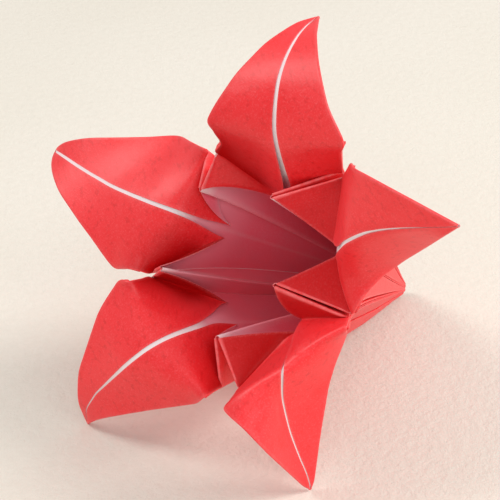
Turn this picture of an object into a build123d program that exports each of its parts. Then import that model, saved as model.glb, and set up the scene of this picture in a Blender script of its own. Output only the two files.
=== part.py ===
from build123d import *
import os
import math

# Folded paper lily: one regular pentagon of paper, red on one side and white
# on the other, folded flat to a five-page base, narrowed, opened into a funnel
# and its five petals curled back.  It lies on its side, as it comes to rest:
# on the point of the funnel and on the tips of two petals.
#
# Lengths are in millimetres.  +Z is up, the opening faces -Y, and the origin
# is at the middle of the footprint, on the surface the flower lies on.

sheet_apothem = 64.0        # centre of the pentagon to the middle of a side
wall_thickness = 0.40       # plies pressed together in petals and funnel wall
pleat_ridge_width = 1.30    # flat top of a pleat at its open end
pleat_gap_min = 1.10        # least width between the two faces of a pleat
cone_start = 0.06           # below this station the funnel is a plain point
thin_start = 0.45           # towards the point the wall thins from here

# Stations along a petal, from the funnel's point to the petal's tip, as
# fractions of the apothem.  Each row holds five places across the petal, from
# one folded edge over the centre fold to the other folded edge, in millimetres
# for a sheet with an apothem of 64 mm.
TABLE_APOTHEM = 64.0
PETALS = [
    # petal 1
    [
        [(-8.00, -3.04, 4.69), (-7.16, -3.32, 5.48), (-6.74, -3.46, 5.88), (-6.32, -3.60, 6.28), (-5.49, -3.89, 7.09)],
        [(-15.98, -6.40, 9.19), (-14.34, -6.76, 10.86), (-13.52, -6.94, 11.71), (-12.71, -7.07, 12.57), (-11.10, -7.33, 14.30)],
        [(-23.91, -10.04, 13.52), (-21.50, -10.41, 16.13), (-20.30, -10.54, 17.46), (-19.18, -10.44, 18.85), (-16.95, -10.14, 21.62)],
        [(-30.70, -13.64, 17.03), (-27.67, -13.75, 20.59), (-26.20, -13.65, 22.41), (-24.89, -13.11, 24.29), (-22.30, -11.88, 27.98)],
        [(-35.81, -16.82, 19.51), (-32.43, -16.33, 23.93), (-30.85, -15.80, 26.20), (-29.42, -14.85, 28.44), (-26.61, -12.72, 32.86)],
        [(-39.55, -19.44, 21.25), (-36.04, -18.09, 26.40), (-34.45, -17.11, 28.94), (-32.92, -15.84, 31.42), (-29.92, -13.00, 36.46)],
        [(-44.23, -18.42, 22.17), (-41.01, -15.58, 27.57), (-39.32, -14.08, 30.16), (-37.34, -12.24, 32.29), (-33.24, -8.36, 36.15)],
        [(-45.59, -15.85, 20.96), (-43.09, -13.23, 27.16), (-41.44, -11.72, 29.95), (-39.13, -9.68, 31.87), (-34.06, -5.51, 35.03)],
        [(-45.77, -15.53, 20.92), (-43.34, -12.91, 27.14), (-41.71, -11.41, 29.92), (-39.39, -9.38, 31.82), (-34.26, -5.23, 34.93)],
        [(-48.54, -11.41, 23.10), (-46.09, -9.04, 27.48), (-44.69, -7.80, 29.54), (-42.90, -6.27, 31.18), (-39.22, -3.18, 34.27)],
        [(-50.05, -9.21, 24.48), (-47.67, -7.03, 27.91), (-46.39, -5.94, 29.58), (-44.93, -4.72, 31.09), (-41.99, -2.29, 34.01)],
        [(-51.45, -6.93, 25.80), (-49.27, -5.06, 28.44), (-48.15, -4.13, 29.77), (-46.99, -3.20, 31.09), (-44.70, -1.34, 33.70)],
        [(-52.68, -4.51, 26.94), (-50.80, -3.02, 28.95), (-49.86, -2.29, 29.98), (-48.98, -1.59, 31.05), (-47.25, -0.19, 33.21)],
        [(-53.56, -1.86, 27.84), (-52.12, -0.83, 29.29), (-51.42, -0.31, 30.03), (-50.80, 0.19, 30.81), (-49.57, 1.21, 32.37)],
        [(-53.97, 0.96, 28.44), (-53.13, 1.55, 29.33), (-52.71, 1.85, 29.78), (-52.34, 2.16, 30.24), (-51.62, 2.77, 31.17)],
        [(-53.96, 3.13, 28.73), (-53.63, 3.41, 29.17), (-53.47, 3.55, 29.39), (-53.31, 3.69, 29.61), (-52.98, 3.97, 30.05)],
    ],
    # petal 2
    [
        [(-5.26, -2.88, 7.72), (-4.29, -3.56, 7.84), (-3.80, -3.89, 7.89), (-3.32, -4.24, 7.95), (-2.36, -4.93, 8.08)],
        [(-10.57, -6.00, 15.31), (-8.63, -7.33, 15.54), (-7.66, -8.00, 15.66), (-6.69, -8.68, 15.78), (-4.76, -10.04, 16.03)],
        [(-15.89, -9.30, 22.81), (-13.07, -11.40, 23.04), (-11.64, -12.43, 23.17), (-10.15, -13.37, 23.40), (-7.18, -15.25, 23.91)],
        [(-20.53, -12.32, 29.25), (-17.07, -15.28, 29.26), (-15.25, -16.68, 29.32), (-13.24, -17.75, 29.73), (-9.24, -19.83, 30.69)],
        [(-24.32, -14.75, 34.10), (-20.19, -18.47, 33.84), (-18.01, -20.22, 33.82), (-15.59, -21.43, 34.36), (-10.76, -23.43, 35.84)],
        [(-27.51, -16.57, 37.68), (-22.42, -20.94, 37.17), (-19.97, -22.96, 37.13), (-17.26, -24.33, 37.69), (-11.80, -26.22, 39.58)],
        [(-29.82, -19.61, 42.18), (-23.97, -23.15, 42.29), (-21.13, -25.02, 42.46), (-18.37, -27.03, 42.74), (-12.53, -30.60, 43.24)],
        [(-29.63, -18.85, 45.05), (-23.87, -22.96, 45.39), (-20.68, -24.63, 45.52), (-17.99, -26.86, 45.86), (-12.11, -30.89, 46.39)],
        [(-29.51, -18.78, 45.37), (-23.80, -22.90, 45.77), (-20.62, -24.55, 45.89), (-17.95, -26.78, 46.24), (-12.11, -30.82, 46.77)],
        [(-26.52, -18.29, 49.36), (-22.26, -21.66, 50.06), (-19.95, -23.16, 50.27), (-17.80, -24.79, 50.57), (-13.53, -28.10, 51.14)],
        [(-24.72, -17.60, 51.18), (-21.10, -20.43, 51.92), (-19.23, -21.77, 52.20), (-17.42, -23.12, 52.50), (-13.89, -25.90, 53.11)],
        [(-22.73, -16.65, 52.70), (-19.76, -18.90, 53.40), (-18.26, -19.99, 53.70), (-16.82, -21.09, 54.00), (-14.02, -23.32, 54.60)],
        [(-20.63, -15.46, 53.95), (-18.28, -17.14, 54.46), (-17.12, -17.98, 54.71), (-16.03, -18.81, 54.98), (-13.93, -20.49, 55.53)],
        [(-18.38, -14.10, 54.75), (-16.72, -15.25, 55.09), (-15.90, -15.83, 55.26), (-15.15, -16.40, 55.46), (-13.70, -17.55, 55.86)],
        [(-16.06, -12.62, 55.15), (-15.11, -13.30, 55.32), (-14.65, -13.63, 55.41), (-14.21, -13.96, 55.51), (-13.36, -14.63, 55.72)],
        [(-14.30, -11.53, 55.22), (-13.90, -11.83, 55.30), (-13.70, -11.99, 55.34), (-13.50, -12.14, 55.38), (-13.11, -12.45, 55.46)],
    ],
    # petal 3
    [
        [(-2.73, -5.37, 7.69), (-3.00, -6.11, 6.81), (-3.14, -6.48, 6.37), (-3.27, -6.85, 5.92), (-3.54, -7.59, 5.03)],
        [(-5.42, -10.76, 15.38), (-5.87, -12.28, 13.63), (-6.10, -13.03, 12.74), (-6.35, -13.77, 11.86), (-6.86, -15.26, 10.08)],
        [(-7.99, -16.18, 23.09), (-8.61, -18.48, 20.46), (-8.91, -19.63, 19.14), (-9.23, -20.77, 17.81), (-9.88, -23.05, 15.15)],
        [(-9.95, -20.96, 29.81), (-10.85, -23.90, 26.42), (-11.28, -25.36, 24.70), (-11.51, -26.89, 22.99), (-11.92, -29.99, 19.58)],
        [(-11.12, -24.70, 35.02), (-12.47, -28.10, 31.02), (-13.10, -29.78, 28.98), (-13.12, -31.63, 26.96), (-12.74, -35.47, 23.06)],
        [(-11.74, -27.50, 38.99), (-13.60, -31.28, 34.45), (-14.41, -33.12, 32.18), (-14.24, -35.17, 29.91), (-12.64, -39.56, 25.70)],
        [(-11.83, -31.64, 43.62), (-13.62, -35.86, 38.65), (-14.30, -37.98, 36.19), (-12.56, -39.21, 33.71), (-7.72, -39.60, 29.17)],
        [(-11.41, -33.84, 45.92), (-12.88, -38.33, 40.71), (-13.01, -40.60, 38.01), (-10.56, -40.65, 35.62), (-5.69, -38.25, 31.47)],
        [(-11.37, -34.17, 46.13), (-12.74, -38.65, 40.95), (-12.80, -40.90, 38.25), (-10.32, -40.83, 35.87), (-5.49, -38.23, 31.79)],
        [(-11.17, -39.28, 47.57), (-10.56, -42.35, 43.16), (-9.88, -43.59, 40.93), (-7.84, -43.05, 39.17), (-3.70, -41.28, 35.86)],
        [(-10.12, -42.02, 48.12), (-9.05, -44.22, 44.19), (-8.28, -45.05, 42.22), (-6.61, -44.61, 40.70), (-3.10, -43.37, 37.85)],
        [(-8.68, -44.62, 48.43), (-7.49, -46.08, 45.09), (-6.77, -46.64, 43.42), (-5.47, -46.36, 42.14), (-2.70, -45.57, 39.75)],
        [(-7.04, -47.10, 48.54), (-5.95, -47.99, 45.88), (-5.35, -48.36, 44.58), (-4.41, -48.23, 43.54), (-2.45, -47.81, 41.60)],
        [(-5.30, -49.47, 48.51), (-4.44, -49.96, 46.63), (-3.98, -50.17, 45.70), (-3.41, -50.16, 44.93), (-2.24, -50.05, 43.44)],
        [(-3.47, -51.74, 48.40), (-2.95, -51.96, 47.33), (-2.69, -52.06, 46.80), (-2.42, -52.11, 46.31), (-1.88, -52.18, 45.35)],
        [(-2.07, -53.40, 48.30), (-1.85, -53.49, 47.81), (-1.75, -53.54, 47.57), (-1.65, -53.58, 47.33), (-1.44, -53.67, 46.85)],
    ],
    # petal 4
    [
        [(-3.08, -7.50, 5.42), (-3.79, -7.62, 4.47), (-4.14, -7.68, 3.99), (-4.50, -7.74, 3.52), (-5.21, -7.85, 2.58)],
        [(-6.05, -15.10, 10.78), (-7.53, -15.27, 8.93), (-8.28, -15.35, 8.00), (-9.04, -15.43, 7.10), (-10.55, -15.57, 5.28)],
        [(-8.83, -22.86, 16.00), (-11.27, -22.91, 13.39), (-12.49, -22.94, 12.10), (-13.66, -23.03, 10.77), (-15.98, -23.19, 8.10)],
        [(-10.99, -29.83, 20.27), (-14.51, -29.48, 17.32), (-16.27, -29.33, 15.84), (-17.82, -29.43, 14.13), (-20.76, -29.73, 10.61)],
        [(-12.39, -35.42, 23.26), (-17.00, -34.42, 20.49), (-19.23, -34.08, 18.89), (-21.10, -34.22, 16.83), (-24.60, -34.67, 12.54)],
        [(-13.20, -39.67, 25.35), (-18.83, -38.03, 22.96), (-21.40, -37.59, 21.24), (-23.52, -37.72, 18.91), (-27.72, -38.32, 13.94)],
        [(-13.00, -43.48, 25.17), (-19.82, -43.42, 24.11), (-22.97, -43.07, 22.89), (-25.74, -42.81, 20.95), (-30.98, -42.59, 16.68)],
        [(-12.77, -41.70, 22.52), (-18.99, -44.84, 21.52), (-22.36, -45.76, 21.34), (-25.71, -45.93, 20.47), (-31.09, -45.60, 16.40)],
        [(-12.85, -41.52, 22.18), (-18.96, -44.89, 21.16), (-22.31, -45.92, 21.04), (-25.63, -46.20, 20.28), (-30.96, -45.94, 16.37)],
        [(-15.32, -40.84, 17.44), (-19.75, -44.01, 16.55), (-22.05, -45.42, 16.23), (-23.58, -47.39, 16.08), (-27.72, -50.16, 15.88)],
        [(-16.23, -41.15, 14.67), (-20.05, -43.82, 13.97), (-21.95, -45.18, 13.66), (-23.14, -47.08, 13.54), (-25.88, -50.63, 13.61)],
        [(-16.93, -41.75, 11.91), (-20.13, -43.95, 11.38), (-21.68, -45.13, 11.13), (-22.67, -46.73, 11.04), (-24.54, -49.99, 11.01)],
        [(-17.58, -42.49, 9.20), (-20.03, -44.27, 8.82), (-21.21, -45.22, 8.64), (-22.02, -46.42, 8.56), (-23.50, -48.87, 8.46)],
        [(-18.17, -43.30, 6.52), (-19.84, -44.64, 6.27), (-20.64, -45.33, 6.15), (-21.29, -46.09, 6.08), (-22.54, -47.63, 5.97)],
        [(-18.71, -44.14, 3.83), (-19.67, -44.91, 3.70), (-20.15, -45.30, 3.64), (-20.60, -45.70, 3.59), (-21.48, -46.48, 3.50)],
        [(-19.14, -44.74, 1.82), (-19.63, -45.06, 1.77), (-19.87, -45.21, 1.74), (-20.11, -45.37, 1.72), (-20.60, -45.69, 1.66)],
    ],
    # petal 5
    [
        [(-6.76, -6.88, 1.50), (-7.29, -5.93, 1.99), (-7.56, -5.46, 2.23), (-7.83, -4.99, 2.48), (-8.37, -4.06, 2.99)],
        [(-13.27, -13.88, 3.50), (-14.34, -11.98, 4.45), (-14.88, -11.04, 4.93), (-15.42, -10.10, 5.42), (-16.52, -8.24, 6.40)],
        [(-19.56, -20.97, 5.89), (-21.02, -18.16, 7.53), (-21.77, -16.75, 8.33), (-22.65, -15.34, 8.98), (-24.44, -12.53, 10.19)],
        [(-24.73, -27.20, 8.38), (-26.30, -23.62, 10.89), (-27.17, -21.80, 12.07), (-28.41, -19.95, 12.82), (-30.99, -16.32, 14.02)],
        [(-28.37, -32.13, 10.59), (-29.96, -27.88, 13.86), (-30.96, -25.70, 15.33), (-32.46, -23.48, 16.23), (-35.73, -19.15, 17.58)],
        [(-30.82, -35.93, 12.41), (-32.54, -31.05, 16.20), (-33.66, -28.62, 17.83), (-35.29, -26.12, 18.88), (-39.10, -21.14, 20.77)],
        [(-34.13, -39.80, 14.12), (-36.93, -34.51, 17.46), (-38.37, -31.86, 18.89), (-39.72, -29.35, 20.62), (-42.24, -24.30, 24.45)],
        [(-34.87, -38.40, 11.48), (-39.40, -34.94, 15.54), (-41.12, -32.56, 17.44), (-42.52, -29.78, 19.31), (-44.54, -23.76, 22.69)],
        [(-35.03, -38.19, 11.22), (-39.69, -34.90, 15.28), (-41.43, -32.57, 17.21), (-42.83, -29.80, 19.07), (-44.77, -23.76, 22.42)],
        [(-38.91, -35.36, 8.88), (-42.81, -33.14, 12.12), (-44.52, -31.71, 13.77), (-45.67, -29.59, 15.27), (-47.62, -25.13, 18.10)],
        [(-41.20, -34.06, 7.67), (-44.42, -32.07, 10.42), (-45.94, -30.93, 11.79), (-47.00, -29.27, 13.06), (-48.88, -25.77, 15.53)],
        [(-43.52, -32.88, 6.49), (-46.06, -31.06, 8.69), (-47.30, -30.09, 9.77), (-48.27, -28.85, 10.81), (-50.05, -26.26, 12.88)],
        [(-45.77, -31.68, 5.28), (-47.68, -30.08, 6.92), (-48.63, -29.26, 7.74), (-49.46, -28.37, 8.52), (-51.08, -26.56, 10.12)],
        [(-47.85, -30.35, 3.97), (-49.19, -29.11, 5.07), (-49.85, -28.49, 5.62), (-50.48, -27.87, 6.15), (-51.72, -26.63, 7.23)],
        [(-49.66, -28.88, 2.43), (-50.43, -28.10, 3.06), (-50.82, -27.70, 3.37), (-51.19, -27.32, 3.67), (-51.94, -26.57, 4.27)],
        [(-50.83, -27.73, 1.17), (-51.16, -27.32, 1.46), (-51.32, -27.11, 1.61), (-51.48, -26.91, 1.75), (-51.80, -26.51, 2.04)],
    ],
]
TIPS = [(-53.82, 5.03, 28.79), (-12.89, -10.56, 55.06), (-0.88, -54.83, 48.20), (-19.70, -45.07, 0.08), (-51.52, -26.54, 0.04)]
RIDGE_ENDS = [(-31.54, -16.92, 32.53), (-21.18, -24.91, 35.58), (-21.83, -33.67, 26.99), (-30.65, -32.52, 18.36), (-36.89, -21.56, 23.17)]
STATIONS = [0.1500, 0.3000, 0.4500, 0.5800, 0.6800, 0.7548, 0.8500, 0.9000, 0.9064, 0.9800, 1.0200, 1.0600, 1.1000, 1.1400, 1.1800, 1.2100]

ROOT_ROW = 5                # row where the pleats end and the petals begin


def sub(a, b):
    return (a[0] - b[0], a[1] - b[1], a[2] - b[2])


def mix(a, b, t):
    return tuple(a[k] + (b[k] - a[k]) * t for k in range(3))


def length(a):
    return math.sqrt(a[0] ** 2 + a[1] ** 2 + a[2] ** 2)


def unit(a):
    n = length(a)
    return (a[0] / n, a[1] / n, a[2] / n)


def cross(a, b):
    return (a[1] * b[2] - a[2] * b[1], a[2] * b[0] - a[0] * b[2], a[0] * b[1] - a[1] * b[0])


def dot(a, b):
    return a[0] * b[0] + a[1] * b[1] + a[2] * b[2]


def add3(a, b, s=1.0):
    return (a[0] + b[0] * s, a[1] + b[1] * s, a[2] + b[2] * s)


# ---- middle surface of the folded sheet ----------------------------------
# Every column is a list of (row, point).  Petal columns run to the tip; pleat
# columns stop at the root row.
apex = (0.0, 0.0, 0.0)
middle = {}                 # vertex key -> point
half = {}                   # vertex key -> half of the wall thickness
cells = []                  # triangles of vertex keys, white side first


def ply(station):
    return 0.5 * wall_thickness * min(1.0, station / thin_start)


def put(key, point, station):
    middle[key] = point
    half[key] = ply(station)


# the tables at this sheet's size
grow = sheet_apothem / TABLE_APOTHEM
rows = [[[mix(apex, p, grow) for p in r] for r in petal] for petal in PETALS]
tips = [mix(apex, p, grow) for p in TIPS]
ridge_ends = [mix(apex, p, grow) for p in RIDGE_ENDS]

# widen pleats that are almost shut, half to each side
for k in range(5):
    a, b = rows[k], rows[(k + 1) % 5]
    end_gap = sub(b[ROOT_ROW][0], a[ROOT_ROW][4])
    away = unit(end_gap)
    for m in range(ROOT_ROW + 1):
        share = STATIONS[m] / STATIONS[ROOT_ROW]
        gap = sub(b[m][0], a[m][4])
        want = pleat_gap_min * share
        short = want - dot(gap, away)
        if short > 0:
            a[m][4] = add3(a[m][4], away, -short / 2)
            b[m][0] = add3(b[m][0], away, short / 2)

for i in range(5):
    for m, station in enumerate(STATIONS):
        for c in range(5):
            put(("p", i, m, c), rows[i][m][c], station)
    put(("tip", i), tips[i], 1.2)
    # plain cone row, on the straight lines to the funnel's point
    for c in range(5):
        put(("q", i, c), mix(apex, rows[i][0][c], cone_start / STATIONS[0]), cone_start)

for k in range(5):
    i, j = k, (k + 1) % 5
    away = unit(sub(rows[j][ROOT_ROW][0], rows[i][ROOT_ROW][4]))
    for m in range(ROOT_ROW + 1):
        share = STATIONS[m] / STATIONS[ROOT_ROW]
        ridge = mix(apex, ridge_ends[k], share)
        half_top = pleat_ridge_width / 2 * share
        for s, edge, sign in (("a", rows[i][m][4], -1), ("b", rows[j][m][0], 1)):
            top = add3(ridge, away, sign * half_top)
            put(("r", k, m, s), top, STATIONS[m])
            put(("h", k, m, s), mix(edge, top, 0.5), STATIONS[m])
    # cone row: the pleat is spread flat between the two petals here
    e, f = middle[("q", i, 4)], middle[("q", j, 0)]
    for name, t in ((("h", "a"), 0.2), (("r", "a"), 0.4), (("r", "b"), 0.6), (("h", "b"), 0.8)):
        put(("z", k) + name, mix(e, f, t), cone_start)


def quad(a, b, c, d):
    # shorter diagonal first
    if length(sub(middle[a], middle[c])) <= length(sub(middle[b], middle[d])):
        cells.append((a, b, c))
        cells.append((a, c, d))
    else:
        cells.append((a, b, d))
        cells.append((b, c, d))


last = len(STATIONS) - 1
for i in range(5):
    for m in range(last):
        for c in range(4):
            quad(("p", i, m, c), ("p", i, m, c + 1), ("p", i, m + 1, c + 1), ("p", i, m + 1, c))
    for c in range(4):
        cells.append((("p", i, last, c), ("p", i, last, c + 1), ("tip", i)))
        quad(("q", i, c), ("q", i, c + 1), ("p", i, 0, c + 1), ("p", i, 0, c))

for k in range(5):
    i, j = k, (k + 1) % 5

    def across(m):
        return [("p", i, m, 4), ("h", k, m, "a"), ("r", k, m, "a"), ("r", k, m, "b"), ("h", k, m, "b"), ("p", j, m, 0)]

    low = [("q", i, 4), ("z", k, "h", "a"), ("z", k, "r", "a"), ("z", k, "r", "b"), ("z", k, "h", "b"), ("q", j, 0)]
    rings = [low] + [across(m) for m in range(ROOT_ROW + 1)]
    for lo, hi in zip(rings[:-1], rings[1:]):
        for c in range(5):
            quad(lo[c], lo[c + 1], hi[c + 1], hi[c])

ring = []
for k in range(5):
    ring += [("q", k, c) for c in range(5)]
    ring += [("z", k, "h", "a"), ("z", k, "r", "a"), ("z", k, "r", "b"), ("z", k, "h", "b")]
for n in range(len(ring)):
    cells.append((ring[n], ring[(n + 1) % len(ring)], "apex"))
opening = (0.0, 0.0, 0.0)
for r in ridge_ends:
    opening = add3(opening, r, 0.2)
opening = unit(opening)
middle["apex"] = apex
half["apex"] = 0.35

# ---- normals, pointing into the funnel (the white side) -------------------
normal = {key: (0.0, 0.0, 0.0) for key in middle}
for n, (a, b, c) in enumerate(cells):
    v = cross(sub(middle[b], middle[a]), sub(middle[c], middle[a]))
    if "apex" in (a, b, c):
        # the cone's facets wind towards the point
        v = (-v[0], -v[1], -v[2])
        cells[n] = (a, c, b)
    area = length(v)
    for key, p, q in ((a, b, c), (b, c, a), (c, a, b)):
        u, w = unit(sub(middle[p], middle[key])), unit(sub(middle[q], middle[key]))
        angle = math.acos(max(-1.0, min(1.0, dot(u, w))))
        normal[key] = add3(normal[key], v, angle / area)
for key in normal:
    normal[key] = unit(normal[key])
normal["apex"] = opening
sense = 1.0 if dot(normal[("p", 0, 2, 2)], sub(opening, unit(middle[("p", 0, 2, 2)]))) > 0 else -1.0

inner, outer = {}, {}
for key, point in middle.items():
    s = half[key] * (1.0 if key == "apex" else sense)
    inner[key] = add3(point, normal[key], s)
    outer[key] = add3(point, normal[key], -s)

triangles = []
edges = {}
for a, b, c in cells:
    triangles.append((inner[a], inner[b], inner[c]))
    triangles.append((outer[a], outer[c], outer[b]))
    for p, q in ((a, b), (b, c), (c, a)):
        edges[(p, q)] = edges.get((p, q), 0) + 1
for (p, q) in edges:
    if (q, p) not in edges:      # raw or folded border of the sheet
        triangles.append((inner[q], inner[p], outer[p]))
        triangles.append((inner[q], outer[p], outer[q]))

# ---- set down: footprint centred on the origin, lowest point at zero ------
corners = [p for t in triangles for p in t]
lo = [min(p[k] for p in corners) for k in range(3)]
hi = [max(p[k] for p in corners) for k in range(3)]
shift = ((lo[0] + hi[0]) / 2, (lo[1] + hi[1]) / 2, lo[2])


def place(p):
    return Vector(round(p[0] - shift[0], 5), round(p[1] - shift[1], 5), round(p[2] - shift[2], 5))


facets = [Face(Wire.make_polygon([place(a), place(b), place(c)], close=True)) for a, b, c in triangles]
body = Solid(Shell(facets))

with BuildPart() as folded_sheet:
    add(body)

print("shift", [round(v, 3) for v in shift], "facets", len(facets), "volume", round(folded_sheet.part.volume, 1),
      "valid", folded_sheet.part.is_valid, "size", [round(hi[k] - lo[k], 2) for k in range(3)])
folded_sheet.part.label = "folded_sheet"
os.makedirs("parts", exist_ok=True)
export_step(folded_sheet.part, "parts/folded_sheet.step")
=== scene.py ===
import bmesh
import bpy
import math
import numpy as np
from mathutils import Matrix, Vector


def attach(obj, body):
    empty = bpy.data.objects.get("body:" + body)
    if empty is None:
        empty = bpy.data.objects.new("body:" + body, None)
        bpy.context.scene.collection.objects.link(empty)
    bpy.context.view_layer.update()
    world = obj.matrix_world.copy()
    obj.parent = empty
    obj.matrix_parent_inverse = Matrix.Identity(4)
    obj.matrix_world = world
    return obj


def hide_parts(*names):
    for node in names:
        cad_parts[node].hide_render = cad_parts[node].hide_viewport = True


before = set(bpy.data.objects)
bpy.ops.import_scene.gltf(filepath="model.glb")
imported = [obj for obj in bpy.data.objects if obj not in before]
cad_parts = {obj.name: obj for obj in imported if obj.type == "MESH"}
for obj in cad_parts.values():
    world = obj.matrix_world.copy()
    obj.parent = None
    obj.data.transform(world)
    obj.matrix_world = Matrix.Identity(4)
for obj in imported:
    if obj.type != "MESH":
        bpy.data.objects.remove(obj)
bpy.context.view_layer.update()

# ---------------------------------------------------------------------------
# Folded paper lily.  Lengths in this script are millimetres until a mesh is
# written; stations along a petal are fractions of the sheet's apothem.
# ---------------------------------------------------------------------------
APOTHEM = 64.0
OT = 0.7548                     # where the pleats end and the petals begin
OW = 0.9064                     # the petal's outer corner
OC = 1.2361                     # the petal's tip
FLAP_END = 0.7936               # the back flaps meet on the centre fold up to here
NARROW = math.tan(math.radians(10.5))
PAPER = 0.11                    # thickness of the paper
GAP = 0.17                      # a ply's middle from the wall's middle

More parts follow.
